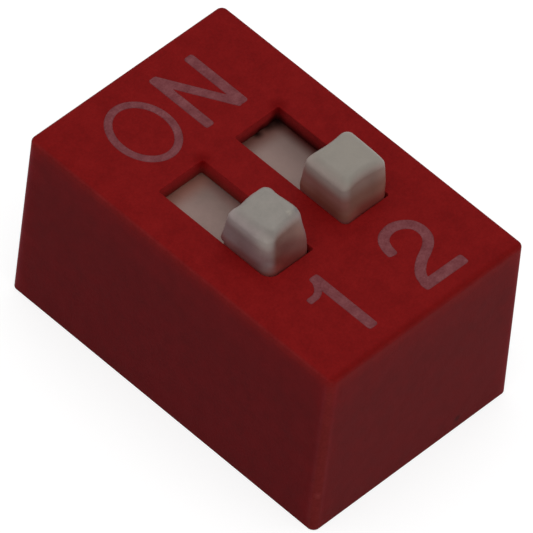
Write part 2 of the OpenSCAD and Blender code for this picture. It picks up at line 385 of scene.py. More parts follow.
# %% The slider's profile
SHUTTLE_WALL = 0.3          # thickness of the wall round the spring's pocket
BOSS_RADIUS = 0.16
BOSS_HEIGHT = 0.2
BOSS_CHAMFER = 0.02
SHUTTLE_EDGE = 0.05         # radius of the plate's round edge
KNOB_UPRIGHT = 0.25         # radius of the knob's upright edges
KNOB_EDGE = 0.26            # radius of its round top edge
KNOB_LEAN = 0.02            # how far its sides lean in
KNOB_CROWN = 0.02           # how far its top bulges
TOP_CORNER_LOSS = 0.75      # share of the upright edges' radius that the round top edge takes away
KNOB_ROWS = (26, 14, 12)    # sections up the sides, steps round the top edge, sections over the crown
CROWN_SHARES = (0.93, 0.04)


def shuttle_rows(sizes):
    """Rows of (half x, half y, radius, z) from the boss in the pocket to the top of the plate.

    The boss is a cylinder: its half sizes and its radius are the same, less at its chamfered tip.
    """
    low, high = sizes["shuttle"]
    half_x, half_y = (float(size) / 2 for size in (high - low)[:2])
    foot, plate, ceiling = float(low[2]), sizes["plate"], sizes["pocket_top"]
    pocket_x, pocket_y = half_x - SHUTTLE_WALL, half_y - SHUTTLE_WALL
    tip = ceiling - BOSS_HEIGHT
    boss = [(radius, radius, radius, z) for radius, z in (
        (0.3 * BOSS_RADIUS, tip), (0.9 * BOSS_RADIUS, tip), (BOSS_RADIUS, tip + BOSS_CHAMFER),
        (BOSS_RADIUS, ceiling))]
    inner = INSIDE_CORNER / 2
    pocket = [(0.5 * pocket_x, 0.5 * pocket_y, inner, ceiling), (pocket_x, pocket_y, inner, ceiling),
              (pocket_x, pocket_y, inner, foot)]
    outside = [(half_x, half_y, INSIDE_CORNER, foot)]
    for c, s in zip(*quarter(0, 90, 3)):
        inset = SHUTTLE_EDGE * (1 - c)
        outside.append((half_x - inset, half_y - inset, INSIDE_CORNER, plate - SHUTTLE_EDGE * (1 - s)))
    return boss + pocket + outside


def knob_rows(sizes):
    """Rows of the knob from the plate to near the middle of its crowned top."""
    knob_x, knob_y = sizes["knob"]
    plate, top = sizes["plate"], float(sizes["shuttle"][1][2])
    crown_start = top - KNOB_CROWN
    side_top = crown_start - KNOB_EDGE
    rows = []
    for share in np.linspace(0, 1, KNOB_ROWS[0]):
        inset = KNOB_LEAN * share
        rows.append((knob_x - inset, knob_y - inset, KNOB_UPRIGHT, plate + share * (side_top - plate)))
    for c, s in zip(*quarter(0, 90, KNOB_ROWS[1])):
        inset = KNOB_LEAN + KNOB_EDGE * (1 - c)
        radius = KNOB_UPRIGHT * (1 - TOP_CORNER_LOSS * (1 - c))
        rows.append((knob_x - inset, knob_y - inset, radius, side_top + KNOB_EDGE * s))
    half_x, half_y, radius, _ = rows[-1]
    for share in np.linspace(*CROWN_SHARES, KNOB_ROWS[2]):
        z = crown_start + KNOB_CROWN * (1 - share ** 2)
        rows.append((half_x * share, half_y * share, radius * share, z))
    return rows


print("sections of shuttle and knob:", [len(rows(POSITIONS[1])) for rows in (shuttle_rows, knob_rows)])

# %% [markdown]
# ## What handling and moulding did to the knobs
#
# The knobs aren't perfect blocks. A mesh like that could be shaped by hand with a brush, but
# nobody could repeat it. Here each fault is a function of the point, added to the whole grid at
# once. The first is that the plastic shrank unevenly, so no side is quite flat: broad waves and
# a fine grit, both sums of plane waves.

# %% Waves
GRIT_SIZE, GRIT_COUNT = 0.12, 60


def waves(points, size, seed, count=24):
    """Sum of plane waves with random directions and phases and about the given length.

    Its values lie near -1 to 1.
    """
    draw = np.random.default_rng(seed)
    direction = draw.normal(size=(count, 3))
    direction /= np.linalg.norm(direction, axis=1)[:, None]
    length = size * draw.uniform(0.7, 1.5, count)
    phase = draw.uniform(0, 2 * math.pi, count)
    turns = points @ (direction / length[:, None]).T * 2 * math.pi + phase
    return np.cos(turns).sum(axis=-1) / math.sqrt(count)


def ramp(value, start, end):
    """0 before start, 1 after end, and a smooth S between them."""
    share = np.clip((value - start) / (end - start), 0, 1)
    return share * share * (3 - 2 * share)


def wavy_push(grid, local, out, look):
    """Push along the outward direction by the two waves, from nothing at the cover's face."""
    above = ramp(local[..., 2], 0.03, 0.25)
    push = look["wave"] * waves(grid, look["wave_size"], look["seed"])
    push += look["grit"] * waves(grid, GRIT_SIZE, look["seed"] + 1, GRIT_COUNT)
    sideways = np.abs(out[..., :2]).max(axis=-1, keepdims=True)
    normal = np.concatenate([out[..., :2] * ramp(sideways, 0.55, 1.0), ramp(out[..., 2:], 0.7, 1.0)], axis=-1)
    normal /= np.maximum(np.linalg.norm(normal, axis=-1, keepdims=True), 0.5)
    return normal * (push * above)[..., None]


print("waves at three points:", np.round(waves(np.eye(3), 1.0, 5), 2).tolist())

# %% [markdown]
# The sides have faults of their own. The number side leans in under a tight edge, the side at
# -X ends in a soft and slightly lower one, and the foot swells a little where it meets the slot.
# Knob 2 is scooped near the top of its ON side, and knob 1 has a lip low on that side, where it
# was cut off roughly.

# %% Ends, top and neck
# "wave" and "grit" are heights of the two waves, "scoop" and "flare" those of the ON side,
# "slope" the drop towards -X, and "front" how far the number side leans in at the top: at the
# corners, its growth to +X, and in the middle. All in mm.
KNOB_LOOKS = {
    1: {"seed": 5, "wave": 0.005, "wave_size": 0.6, "grit": 0.0012, "scoop": 0.0, "flare": 0.13,
        "slope": 0.05, "front": (0.1, 0.06, 0.17)},
    2: {"seed": 9, "wave": 0.004, "wave_size": 0.7, "grit": 0.0006, "scoop": 0.06, "flare": 0.03,
        "slope": 0.03, "front": (0.04, -0.05, 0.18)},
}
FRONT_TIGHTER = 0.02    # how far the number side's top edge moves out and up
LEFT_SOFTER = 0.07      # how far the top edge at -X moves in and down
SOFT_EDGE = 0.55        # width of that soft edge
NECK_SWELL = 0.022


def shape_ends(moved, local, out, look):
    """Scoops the ON side at its top, flares it at its foot and leans the number side in.

    Scoop and hollow fade as 1 - share ** 2 from the middle of the side to its corners.
    """
    across = np.clip(out[..., 0], -1, 1)
    height = np.clip(out[..., 2], 0, 1)
    on_side = ramp(out[..., 1], 0.2, 1.0)
    moved[..., 1] -= look["scoop"] * on_side * (1 - across ** 2) * ramp(height, 0.25, 1.0)
    moved[..., 1] += look["flare"] * on_side * ramp(local[..., 2], 0.005, 0.02) * (1 - height)
    corners, growth, hollow = look["front"]
    lean = corners + growth * across + hollow * (1 - across ** 2)
    moved[..., 1] += lean * ramp(-out[..., 1], 0.2, 1.0) * height ** 1.3


def shape_top(moved, local, out, sizes, look):
    """Makes the top edge tight on the number side, soft at -X, and lowers the top towards -X."""
    knob_x, knob_y = sizes["knob"]
    from_top = local[..., 2] - (float(sizes["shuttle"][1][2]) - BODY_H - KNOB_CROWN)
    from_front, from_left = local[..., 1] + knob_y, local[..., 0] + knob_x
    tighter = np.clip(1 + from_top / KNOB_EDGE, 0, 1) * np.clip(1 - from_front / KNOB_EDGE, 0, 1)
    softer = (np.clip(1 + from_top / SOFT_EDGE, 0, 1) * np.clip(1 - from_left / SOFT_EDGE, 0, 1)) ** 2
    lower = look["slope"] * ramp(-out[..., 0], 0.3, 1.0) ** 2
    moved[..., 1] -= FRONT_TIGHTER * tighter
    moved[..., 2] += FRONT_TIGHTER * tighter - LEFT_SOFTER * softer
    moved[..., 2] -= lower * ramp(np.clip(out[..., 2], 0, 1), 0.4, 1.0)
    moved[..., 0] += LEFT_SOFTER * softer


def shape_neck(moved, local, out, number):
    """Shifts the foot with its slot and makes it a little wider than the sides above it."""
    to_right = ramp(np.clip(out[..., 0], -1, 1), -1, 1)
    moved[..., 0] += SLOT_SHIFT[number] * (1 - ramp(local[..., 2], 0, 0.5) * to_right)
    neck = NECK_SWELL * (1 - ramp(local[..., 2], 0.02, 0.5))
    moved[..., 0] += neck * np.sign(out[..., 0]) * ramp(np.abs(out[..., 0]), 0.6, 1.0)
    moved[..., 1] -= neck * ramp(-out[..., 1], 0.6, 1.0)


print("looks:", KNOB_LOOKS[1]["front"], KNOB_LOOKS[2]["front"])

# %% [markdown]
# Last come the marks of tools and fingers: pressed corners, and small lumps on top of knob 1.
# Each is a press, which moves the points near one place and fades out with distance.

# %% Presses
# Place from the middle of the knob at the cover's face, reach along x, y and z, and move, all
# in mm. A press that sits below the face works inside the slot too.
KNOB_PRESSES = {
    1: [((0.7, -0.78, 1.0), (0.5, 0.5, 0.5), (-0.08, 0.12, -0.09)),
        ((0.7, 0.35, 1.05), (0.5, 0.5, 0.6), (-0.1, 0, 0)),
        ((-0.7, -0.78, -0.01), (0.35, 0.35, 9), (0.06, 0.07, 0)),
        ((-0.7, -0.7, 1.1), (0.4, 0.5, 0.5), (0.08, 0.02, -0.03)),
        ((-0.68, 0.77, -0.01), (0.14, 0.14, 9), (-0.07, 0.1, 0)),
        ((-0.3, 0.78, 1.15), (0.22, 0.35, 0.4), (0, -0.04, -0.03)),
        ((0.28, -0.42, 1.12), (0.05, 0.05, 0.2), (0, 0, 0.015)),
        ((0.02, -0.3, 1.16), (0.05, 0.05, 0.2), (0, 0, 0.015)),
        ((-0.5, 0.1, 1.08), (0.06, 0.06, 0.2), (0, 0, 0.012))],
    2: [((-0.68, 0.77, -0.01), (0.14, 0.14, 9), (-0.07, 0.1, 0)),
        ((0.7, -0.78, 1.05), (0.45, 0.45, 0.45), (-0.03, 0.03, -0.02)),
        ((0.1, 0.8, 1.15), (0.35, 0.4, 0.4), (0, -0.02, -0.01)),
        ((0.68, -0.77, -0.05), (0.15, 0.15, 0.5), (0.06, -0.06, 0))],
}


def handle_knob(grid, number):
    """Moves the points of a knob's grid as moulding and trimming left them.

    A point is known by its place from the middle of the knob at the cover's face, in mm (local)
    and as a share of the knob's half sizes and height (out). A press moves the points near its
    place by exp(-distance ** 2), with the distance taken in reaches.
    """
    look, sizes = KNOB_LOOKS[number], POSITIONS[number]
    height = float(sizes["shuttle"][1][2]) - BODY_H
    local = grid - np.array([sizes["x"], sizes["y"], BODY_H])
    out = local / np.array([*sizes["knob"], height])
    moved = grid + wavy_push(grid, local, out, look)
    shape_ends(moved, local, out, look)
    shape_top(moved, local, out, sizes, look)
    shape_neck(moved, local, out, number)
    for place, reach, move in KNOB_PRESSES[number]:
        near = np.exp(-(((local - place) / np.array(reach)) ** 2).sum(axis=-1))
        if place[2] > 0:
            near = near * ramp(local[..., 2], 0.02, 0.12)
        moved += near[..., None] * np.array(move)
    return moved


print("presses:", {number: len(presses) for number, presses in KNOB_PRESSES.items()})

# %% [markdown]
# Each slider carries one more value to its finish: how much a point of the knob belongs to the
# number side, whose painted light and shade differ from the other sides'. It is worked out before
# handling, so that it is clean at the edges.

# %% Skin both sliders
def side_share(grid, number):
    """1 on the number side of a knob, 0 on its other sides, its top and its corner towards -X."""
    sizes = POSITIONS[number]
    knob_x, knob_y = sizes["knob"]
    top = float(sizes["shuttle"][1][2])
    below_top = 1 - ramp(grid[..., 2], top - KNOB_EDGE, top)
    towards_numbers = ramp((sizes["y"] - grid[..., 1]) / knob_y, 0.8, 1.0)
    return towards_numbers * below_top * (1 - ramp((sizes["x"] - grid[..., 0]) / knob_x, 0.62, 0.95))


def make_slider(number):
    """Skin of one slider, from the boss inside it to the top of its handled knob."""
    sizes = POSITIONS[number]
    knob = knob_rows(sizes)
    grid = sections(shuttle_rows(sizes) + knob, (sizes["x"], sizes["y"]))
    share = side_share(grid, number)
    grid[-len(knob):] = handle_knob(grid[-len(knob):], number)
    piece = skin(f"slider_skin_{number}", grid)
    values = np.zeros(len(piece.data.vertices), np.float32)
    values[:share.size] = share.ravel()
    piece.data.attributes.new("number_side", "FLOAT", "POINT").data.foreach_set("value", values)
    smooth(piece, 40)
    print(piece.name, len(piece.data.polygons), "faces")
    return piece


slider_skins = {number: make_slider(number) for number in (1, 2)}

# %% [markdown]
# ## The printed legends
#
# ON and the numbers are pad-printed on the real cover: a film of pale ink a few thousandths of a
# millimetre thick, with soft ends where the ink ran. A letter could be a text object, but its
# face would be someone's typeface. Here a letter is every point within half a stroke of its
# centre line, so its ends and joints come out round by themselves.

# %% Distance to a centre line
def to_line(x, y, line):
    """Distance from each point to the nearest straight piece of a centre line, for square ends.

    Each piece has a distance across it and a distance beyond its end. The fourth root of the sum
    of their fourth powers makes the end of a stroke square with round corners.
    """
    start, step = line[:-1], line[1:] - line[:-1]
    length = np.maximum(np.hypot(step[:, 0], step[:, 1]), 1e-9)
    along = ((x[..., None] - start[:, 0]) * step[:, 0] + (y[..., None] - start[:, 1]) * step[:, 1]) / length
    across = ((x[..., None] - start[:, 0]) * step[:, 1] - (y[..., None] - start[:, 1]) * step[:, 0]) / length
    beyond = np.maximum(np.maximum(-along, along - length), 0)
    return ((across ** 4 + beyond ** 4) ** 0.25).min(axis=-1)


def curve(*places, steps=6):
    """Points on a smooth curve through some places.

    Between two of them it is a cubic whose slope at each place is half the step from the place
    before to the place after.
    """
    places = np.array(places, float)
    slope = np.gradient(places, axis=0)
    share = np.linspace(0, 1, steps + 1)[:-1, None]
    start, end = places[:-1, None], places[1:, None]
    rise, fall = slope[:-1, None], slope[1:, None]
    points = ((2 * share ** 3 - 3 * share ** 2 + 1) * start + (share ** 3 - 2 * share ** 2 + share) * rise
              + (3 * share ** 2 - 2 * share ** 3) * end + (share ** 3 - share ** 2) * fall)
    return np.vstack([points.reshape(-1, 2), places[-1:]])


print("a curve through three places:", len(curve((0, 0), (1, 1), (2, 0))), "points")

# %% [markdown]
# Each legend is a list of strokes: half the stroke's width and its centre line on the cover's
# face, in millimetres. The letter O is an oval ring, and the curved strokes run through a few
# places.

# %% Centre lines
TURN = np.linspace(0, 2 * math.pi, 73)
RING = np.stack([-1.035 + 0.735 * np.cos(TURN), 3.335 + 0.905 * np.sin(TURN)], axis=1)
LEGENDS = {
    "legend_O": [(0.1, RING)],
    "legend_N": [(0.132, np.array([(0.282, 2.56), (0.282, 4.25)])),
                 (0.125, np.array([(0.34, 4.2), (1.28, 2.56)])),
                 (0.138, np.array([(1.388, 2.56), (1.388, 4.18)]))],
    "legend_1": [(0.142, np.array([(-1.225, -4.24), (-1.225, -2.52)])),
                 (0.09, curve((-1.76, -2.87), (-1.56, -2.85), (-1.41, -2.75), (-1.31, -2.6), (-1.26, -2.5)))],
    "legend_2": [(0.135, curve((0.665, -3.05), (0.69, -2.92), (0.77, -2.74), (0.93, -2.61), (1.2, -2.56),
                               (1.45, -2.64), (1.63, -2.8), (1.7, -3.02), (1.66, -3.26), (1.52, -3.44),
                               (1.3, -3.58), (1.05, -3.7), (0.83, -3.86), (0.69, -4.03), (0.635, -4.2),
                               (0.62, -4.29))),
                 (0.148, np.array([(0.62, -4.295), (1.7, -4.31)]))],
}
print("strokes:", {name: len(strokes) for name, strokes in LEGENDS.items()})

# %% [markdown]
# ## From strokes to a film
#
# The film's corners are the cells of a square grid that the strokes cover. The corners at its
# border are then moved along the slope of the distance until they lie on the stroke's edge.

# %% The ink film
INK_CELL = 0.02
INK_HEIGHT = 0.006
INK_LIFT = 0.001
INK_SUNK = 0.003
COVERED = -0.2 * INK_CELL      # a corner counts as covered from this depth in a stroke
INK_DOME = 2.5                 # how much faster than over the whole half stroke the ink gets thick
NUDGE = 1e-4                   # step over which the slope of the depth is taken


def stroke_depth(x, y, strokes):
    """How deep each point lies in the nearest stroke: above 0 inside it, 0 on its edge."""
    return np.max([half - to_line(x, y, line) for half, line in strokes], axis=0)


def onto_edge(x, y, strokes, border):
    """Moves the border's points by depth * slope of the depth, three times."""
    for _ in range(3):
        depth = stroke_depth(x, y, strokes)
        slope_x = (stroke_depth(x + NUDGE, y, strokes) - depth) / NUDGE
        slope_y = (stroke_depth(x, y + NUDGE, strokes) - depth) / NUDGE
        x = np.where(border, x - depth * slope_x, x)
        y = np.where(border, y - depth * slope_y, y)
    return x, y


def film_faces(cells, used):
    """Faces of a closed film: its cells on top, the same below, and walls along the border.

    A wall stands on each edge that only one cell has, so that is not known the other way round.
    """
    count = used.sum()
    number = np.full(used.shape, -1)
    number[used] = np.arange(count)
    i, j = np.nonzero(cells)
    quads = np.stack([number[i, j], number[i + 1, j], number[i + 1, j + 1], number[i, j + 1]], axis=1)
    edges = np.concatenate([quads[:, [k, (k + 1) % 4]] for k in range(4)])
    known = set(map(tuple, edges[:, ::-1].tolist()))
    rim = np.array([edge for edge in edges.tolist() if tuple(edge) not in known])
    walls = np.stack([rim[:, 1], rim[:, 0], rim[:, 0] + count, rim[:, 1] + count], axis=1)
    return np.concatenate([quads, quads[:, ::-1] + count, walls])


def ink_film(name, strokes):
    """Closed film over every point within half a stroke of the lines.

    Its height over the face grows as the root of the depth, so that its edges are round.
    """
    widest = max(half for half, _ in strokes)
    every = np.concatenate([line for _, line in strokes])
    low = every.min(axis=0) - widest - 2 * INK_CELL
    high = every.max(axis=0) + widest + 2 * INK_CELL
    xs, ys = np.arange(low[0], high[0], INK_CELL), np.arange(low[1], high[1], INK_CELL)
    x, y = np.meshgrid(xs, ys, indexing="ij")
    inside = stroke_depth(x, y, strokes) > COVERED
    cells = inside[:-1, :-1] & inside[1:, :-1] & inside[1:, 1:] & inside[:-1, 1:]
    cells_around = np.zeros(inside.shape, int)
    for shift_x, shift_y in ((0, 0), (0, 1), (1, 0), (1, 1)):
        cells_around[shift_x:len(xs) - 1 + shift_x, shift_y:len(ys) - 1 + shift_y] += cells
    used = cells_around > 0
    x, y = onto_edge(x, y, strokes, used & (cells_around < 4))
    rise = INK_HEIGHT * np.sqrt(np.clip(stroke_depth(x, y, strokes) / widest * INK_DOME, 0, 1))
    top = np.stack([x[used], y[used], BODY_H + INK_LIFT + rise[used]], axis=1)
    bottom = np.stack([x[used], y[used], np.full(used.sum(), BODY_H - INK_SUNK)], axis=1)
    piece = new_piece(name, np.concatenate([top, bottom]), film_faces(cells, used).tolist())
    piece.data.shade_smooth()
    return piece


legends = [ink_film(name, strokes) for name, strokes in LEGENDS.items()]
print("legends:", [(piece.name, len(piece.data.polygons)) for piece in legends])

# %% [markdown]
# ## A small kit for materials
#
# Every finish is built from nodes, so it has no seams and needs no picture. All patterns are
# drawn in millimetres, on each piece's own coordinates, so that a grain is as wide on the knob
# as on the cover. Each helper adds nodes to a tree and gives back the output of the last one.

# %% Node helpers
def add(tree, kind, inputs=(), **settings):
    """A node with its settings; inputs are (socket, value or output) pairs."""
    node = tree.nodes.new(kind)
    for name, value in settings.items():
        setattr(node, name, value)
    for name, value in inputs:
        if isinstance(value, bpy.types.NodeSocket):
            tree.links.new(value, node.inputs[name])
        else:
            node.inputs[name].default_value = value
    return node


def empty_tree(owner):
    """The cleared node tree of a material or a world."""
    owner.use_nodes = True
    owner.node_tree.nodes.clear()
    return owner.node_tree


def maths(tree, operation, *values, clamp=False):
    """One operation on numbers or outputs."""
    return add(tree, "ShaderNodeMath", enumerate(values), operation=operation, use_clamp=clamp).outputs[0]


def smooth_step(tree, value, start, end):
    """0 before start, 1 after end and a smooth S between them."""
    return add(tree, "ShaderNodeMapRange", [("Value", value), ("From Min", start), ("From Max", end)],
               interpolation_type="SMOOTHSTEP").outputs[0]


def spread(tree, value, start, end, low, high):
    """Goes evenly from low to high while the value goes from start to end."""
    return add(tree, "ShaderNodeMapRange", [("Value", value), ("From Min", start), ("From Max", end),
                                            ("To Min", low), ("To Max", high)]).outputs[0]


def noise(tree, place, scale, detail, roughness=0.5):
    """Soft random pattern with the given number of waves to a millimetre."""
    return add(tree, "ShaderNodeTexNoise", [("Vector", place), ("Scale", scale), ("Detail", detail),
                                            ("Roughness", roughness)]).outputs["Fac"]


def distance(tree, first, second):
    """Distance between two places, in millimetres."""
    return add(tree, "ShaderNodeVectorMath", [(0, first), (1, second)], operation="DISTANCE").outputs["Value"]


# %% [markdown]
# A real surface seldom has one colour all over, and here the colour also carries painted light and
# shade. Its tones are mixed and multiplied step by step: from height to height, where a mask says
# so, or in round spots.

# %% Tones
MIX_COLOURS, MIX_RESULT = (6, 7), 2     # numbers of the mix node's sockets that are colours


def mixed(tree, factor, first, second, blend="MIX"):
    """Colour that goes from the first to the second with the factor."""
    colours = [(*colour, 1) if isinstance(colour, tuple) else colour for colour in (first, second)]
    return add(tree, "ShaderNodeMix", [("Factor", factor), *zip(MIX_COLOURS, colours)],
               data_type="RGBA", blend_type=blend).outputs[MIX_RESULT]


def toned(tree, mask, colour, factor):
    """The colour, multiplied by the factor where the mask is 1."""
    return mixed(tree, mask, colour, mixed(tree, 1.0, colour, factor, "MULTIPLY"))


def tone_by_height(tree, height, stops):
    """Colour that goes from each stop's colour to the next one's between their heights."""
    tone = stops[0][1]
    for (low, _), (high, colour) in zip(stops, stops[1:]):
        tone = mixed(tree, smooth_step(tree, height, low, high), tone, colour)
    return tone


def spotted(tree, place, colour, spots, middle=(0, 0, 0)):
    """The colour with round spots that multiply it: place from a middle, reach, factor."""
    for spot, reach, factor in spots:
        away = distance(tree, place, np.add(middle, spot).tolist())
        colour = toned(tree, smooth_step(tree, away, reach, 0.0), colour, factor)
    return colour


# %% [markdown]
# Two effects are shared by several finishes and are node groups. The tint group mixes a colour
# towards a darker and a lighter one by broad soft clouds and by a fine grain, as pigment does
# that was not stirred in evenly. The relief group adds two sizes of pits, as a spark-eroded
# mould leaves them. Both read millimetres, so their sizes are the real ones.

# %% The shared groups
FLOAT, COLOUR, VECTOR = "NodeSocketFloat", "NodeSocketColor", "NodeSocketVector"


TINT_INPUTS = {"Place": VECTOR, "Colour": COLOUR, "Dark": COLOUR, "Light": COLOUR,
               "Cloud size": FLOAT, "Clouds": FLOAT, "Grain size": FLOAT, "Grain": FLOAT}
RELIEF_INPUTS = {"Place": VECTOR, "Pit size": FLOAT, "Depth": FLOAT, "Swell size": FLOAT, "Swell": FLOAT}


def new_group(name, inputs, output, kind):
    """An empty node group with its inputs, given as {name: kind}, and its one output."""
    tree = bpy.data.node_groups.new(name, "ShaderNodeTree")
    for label, input_kind in inputs.items():
        tree.interface.new_socket(label, in_out="INPUT", socket_type=input_kind)
    tree.interface.new_socket(output, in_out="OUTPUT", socket_type=kind)
    return tree, tree.nodes.new("NodeGroupInput").outputs, tree.nodes.new("NodeGroupOutput").inputs[0]


def uneven_tint():
    """Mixes a colour to Dark or Light by the sum of clouds and grain, each from -1 to 1."""
    tree, given, result = new_group("uneven_tint", TINT_INPUTS, "Colour", COLOUR)
    clouds = noise(tree, given["Place"], maths(tree, "DIVIDE", 1.0, given["Cloud size"]), 3.0, 0.6)
    grain = noise(tree, given["Place"], maths(tree, "DIVIDE", 1.0, given["Grain size"]), 2.0, 0.65)
    clouds = maths(tree, "MULTIPLY", spread(tree, clouds, 0.32, 0.68, -1.0, 1.0), given["Clouds"])
    grain = spread(tree, grain, 0.3, 0.7, -1.0, 1.0)
    uneven = maths(tree, "MULTIPLY_ADD", grain, given["Grain"], clouds)
    darker = maths(tree, "MULTIPLY", uneven, -1.0, clamp=True)
    lighter = maths(tree, "MULTIPLY", uneven, 1.0, clamp=True)
    colour = mixed(tree, darker, given["Colour"], given["Dark"])
    tree.links.new(mixed(tree, lighter, colour, given["Light"]), result)
    return tree


def spark_relief():
    """Height in mm: fine pits times Depth, plus broad waves times Swell."""
    tree, given, result = new_group("spark_relief", RELIEF_INPUTS, "Height", FLOAT)
    pits = noise(tree, given["Place"], maths(tree, "DIVIDE", 1.0, given["Pit size"]), 3.0, 0.6)
    swell = noise(tree, given["Place"], maths(tree, "DIVIDE", 1.0, given["Swell size"]), 1.0)
    swell = maths(tree, "MULTIPLY", swell, given["Swell"])
    tree.links.new(maths(tree, "MULTIPLY_ADD", pits, given["Depth"], swell), result)
    return tree


UNEVEN_TINT = uneven_tint()
SPARK_RELIEF = spark_relief()
print("groups:", UNEVEN_TINT.name, SPARK_RELIEF.name)

# %% [markdown]
# A finish starts from an empty material whose places are in millimetres. The moulded ones and
# the ink are made alike: a function paints the colour, the relief group bends the light, and
# roughness and reflection are plain values on the shader.

# %% Finishes from the shared groups
def new_material(name):
    """An empty material with its tree, its shader and its coordinates in millimetres."""
    material = bpy.data.materials.new(name)
    tree = empty_tree(material)
    shader = add(tree, "ShaderNodeBsdfPrincipled")
    add(tree, "ShaderNodeOutputMaterial", [("Surface", shader.outputs["BSDF"])])
    place = add(tree, "ShaderNodeTexCoord").outputs["Object"]
    in_mm = add(tree, "ShaderNodeVectorMath", [(0, place), ("Scale", 1 / MM)], operation="SCALE")
    return material, tree, shader, in_mm.outputs["Vector"]


def tinted(tree, place, colours, clouds, grain):
    """The tint group's colour: colours are (plain, dark, light), the others (size, strength)."""
    values = (place, *colours, *clouds, *grain)
    return add(tree, "ShaderNodeGroup", zip(TINT_INPUTS, values), node_tree=UNEVEN_TINT).outputs["Colour"]


def bump(tree, shader, height):
    """Feeds a height in millimetres to the shader's normal."""
    node = add(tree, "ShaderNodeBump", [("Strength", 1.0), ("Distance", MM), ("Height", height)])
    tree.links.new(node.outputs["Normal"], shader.inputs["Normal"])


def moulded(name, paint, pits, swell, roughness, specular):
    """A finish with a painted colour and the relief group, whose pits and swell are (size, height)."""
    material, tree, shader, place = new_material(name)
    tree.links.new(paint(tree, place), shader.inputs["Base Color"])
    relief = add(tree, "ShaderNodeGroup", zip(RELIEF_INPUTS, (place, *pits, *swell)), node_tree=SPARK_RELIEF)
    bump(tree, shader, relief.outputs["Height"])
    shader.inputs["Roughness"].default_value = roughness
    shader.inputs["Specular IOR Level"].default_value = specular
    return material


# %% [markdown]
# ## Red plastic
#
# The cover is a deep, dull red. Its mould was spark-eroded, which leaves a fine dry relief with
# no clear reflection, and the pigment is a little cloudy. Plain colour would look like paper;
# the clouds, the grain and the relief together make it read as a moulded part.
#
# The pigment is then multiplied by painted light and shade that belong to places on the cover. The
# first is painted shade that lightens up its outer sides and a painted highlight over the rounded top
# edge, and two sides have painted shading with a tint.

# %% Tones outside
# Painted shade up the outer sides, darker low down, and a painted highlight on over the rounded top edge:
# height, factor
SIDE_PAINTED_SHADE = [(3.6, (0.86, 0.87, 0.87)), (4.7, (1.01, 1.01, 1.01)), (4.95, (1.14, 1.0, 1.0))]
EDGE_PAINTED_HIGHLIGHT = [(5.12, (1.42, 1.45, 1.45)), (5.17, (1.42, 2.7, 2.7)), (5.21, (1.2, 3.0, 3.0)),
              (5.24, (1.03, 1.8, 1.8))]
# Painted shading of single sides, as the light falls on them differently: where the mask rises along X and
# along Y, factor
PAINTED_SIDE_TINTS = [((-2.9, -3.1), (-4.9, -4.7), (1.03, 0.8, 1.25)),      # the long side at -X
              ((-3.15, -2.95), (-4.8, -4.9), (1.08, 0.5, 0.85))]    # the number side


def both_steps(tree, first, first_span, second, second_span):
    """Mask that is 1 only where two values are both past the end of their spans."""
    first_mask = smooth_step(tree, first, *first_span)
    second_mask = smooth_step(tree, second, *second_span)
    return maths(tree, "MULTIPLY", first_mask, second_mask)


def outer_painted_light(tree, where):
    """Painted light of the outside, by height: painted shade up the sides with their painted shading, then a
    painted highlight on the rounded top edge.
    """
    tone = tone_by_height(tree, where["Z"], SIDE_PAINTED_SHADE)
    for span_x, span_y, factor in PAINTED_SIDE_TINTS:
        tone = toned(tree, both_steps(tree, where["X"], span_x, where["Y"], span_y), tone, factor)
    return tone_by_height(tree, where["Z"], [(SIDE_PAINTED_SHADE[-1][0], tone)] + EDGE_PAINTED_HIGHLIGHT)


print("tones up a side:", len(SIDE_PAINTED_SHADE) + len(EDGE_PAINTED_HIGHLIGHT))

# %% [markdown]
# Little light gets down into the slots, and it turns red from wall to wall, so their walls carry
# painted shade: darker low down than at the mouth, where painted light brightens them, and those
# of slot 2 are the darker ones.

# %% Tones in the slots
# Painted shade and painted light as factors: walls low down, far end of slot 2, mouth, slot 2's wall at +X
SLOT_DEEP_SHADE = {1: (1.05, 4.0, 2.9), 2: (0.28, 0.8, 0.75)}     # walls low down, of each position
SLOT_2_END_SHADE = (0.7, 2.2, 2.0)        # far end of slot 2, low down
SLOT_MOUTH_LIGHT = (2.0, 3.9, 3.9)        # walls at the cover's face
SLOT_2_WALL_SHADE = (0.74, 0.82, 0.82)    # factor on slot 2's wall at +X


def slot_painted_shade(tree, where):
    """Painted shade on the slots' walls: by position low down, and the same painted light at the mouth."""
    deep = mixed(tree, smooth_step(tree, where["Y"], 1.7, 1.8), SLOT_DEEP_SHADE[2], SLOT_2_END_SHADE)
    deep = mixed(tree, smooth_step(tree, where["X"], -0.2, 0.2), SLOT_DEEP_SHADE[1], deep)
    tone = mixed(tree, smooth_step(tree, where["Z"], 4.8, 5.15), deep, SLOT_MOUTH_LIGHT)
    return toned(tree, smooth_step(tree, where["X"], 1.65, 1.8), tone, SLOT_2_WALL_SHADE)


print("slot tones:", SLOT_DEEP_SHADE)

# %% [markdown]
# The paint joins both, from the slots outwards, and leaves the flat face plain. The four upright
# edges carry a painted highlight, as a real edge that catches the light. One round spot serves all
# of them: X and Y are taken without sign, and every height below the spot counts as the spot's own,
# so it reaches all the way down. A few more spots, most of them painted shadow, and painted shade
# on the rim of the number side finish it.

# %% Red plastic
RED_COLOURS = ((0.162, 0.0042, 0.0044, 1), (0.122, 0.0027, 0.0029, 1), (0.2, 0.0064, 0.0062, 1))
SLOTS_REACH = (2.5, 2.3)         # how far from the middle the slots' tones go, along X and Y
REACH_FADE = 0.2
# Painted highlights of the upright edges: middle of the spot, then reach and factor
UPRIGHTS = (3.17, 4.93, 4.95)    # where an upright edge's spot has its middle
UPRIGHT_HIGHLIGHTS = ((0.6, (1.18, 1.0, 1.0)), (0.28, (1.35, 5.5, 5.0)))     # reach, factor
FACE_START, FACE_FULL = 5.232, 5.247     # heights between which the face's plain tone takes over
# Painted shade on the rounded rim of the number side
NUMBER_RIM_SHADE = ((-4.72, -4.87), (5.16, 5.24), (0.85, 0.6, 0.55))      # rise along Y and Z, factor
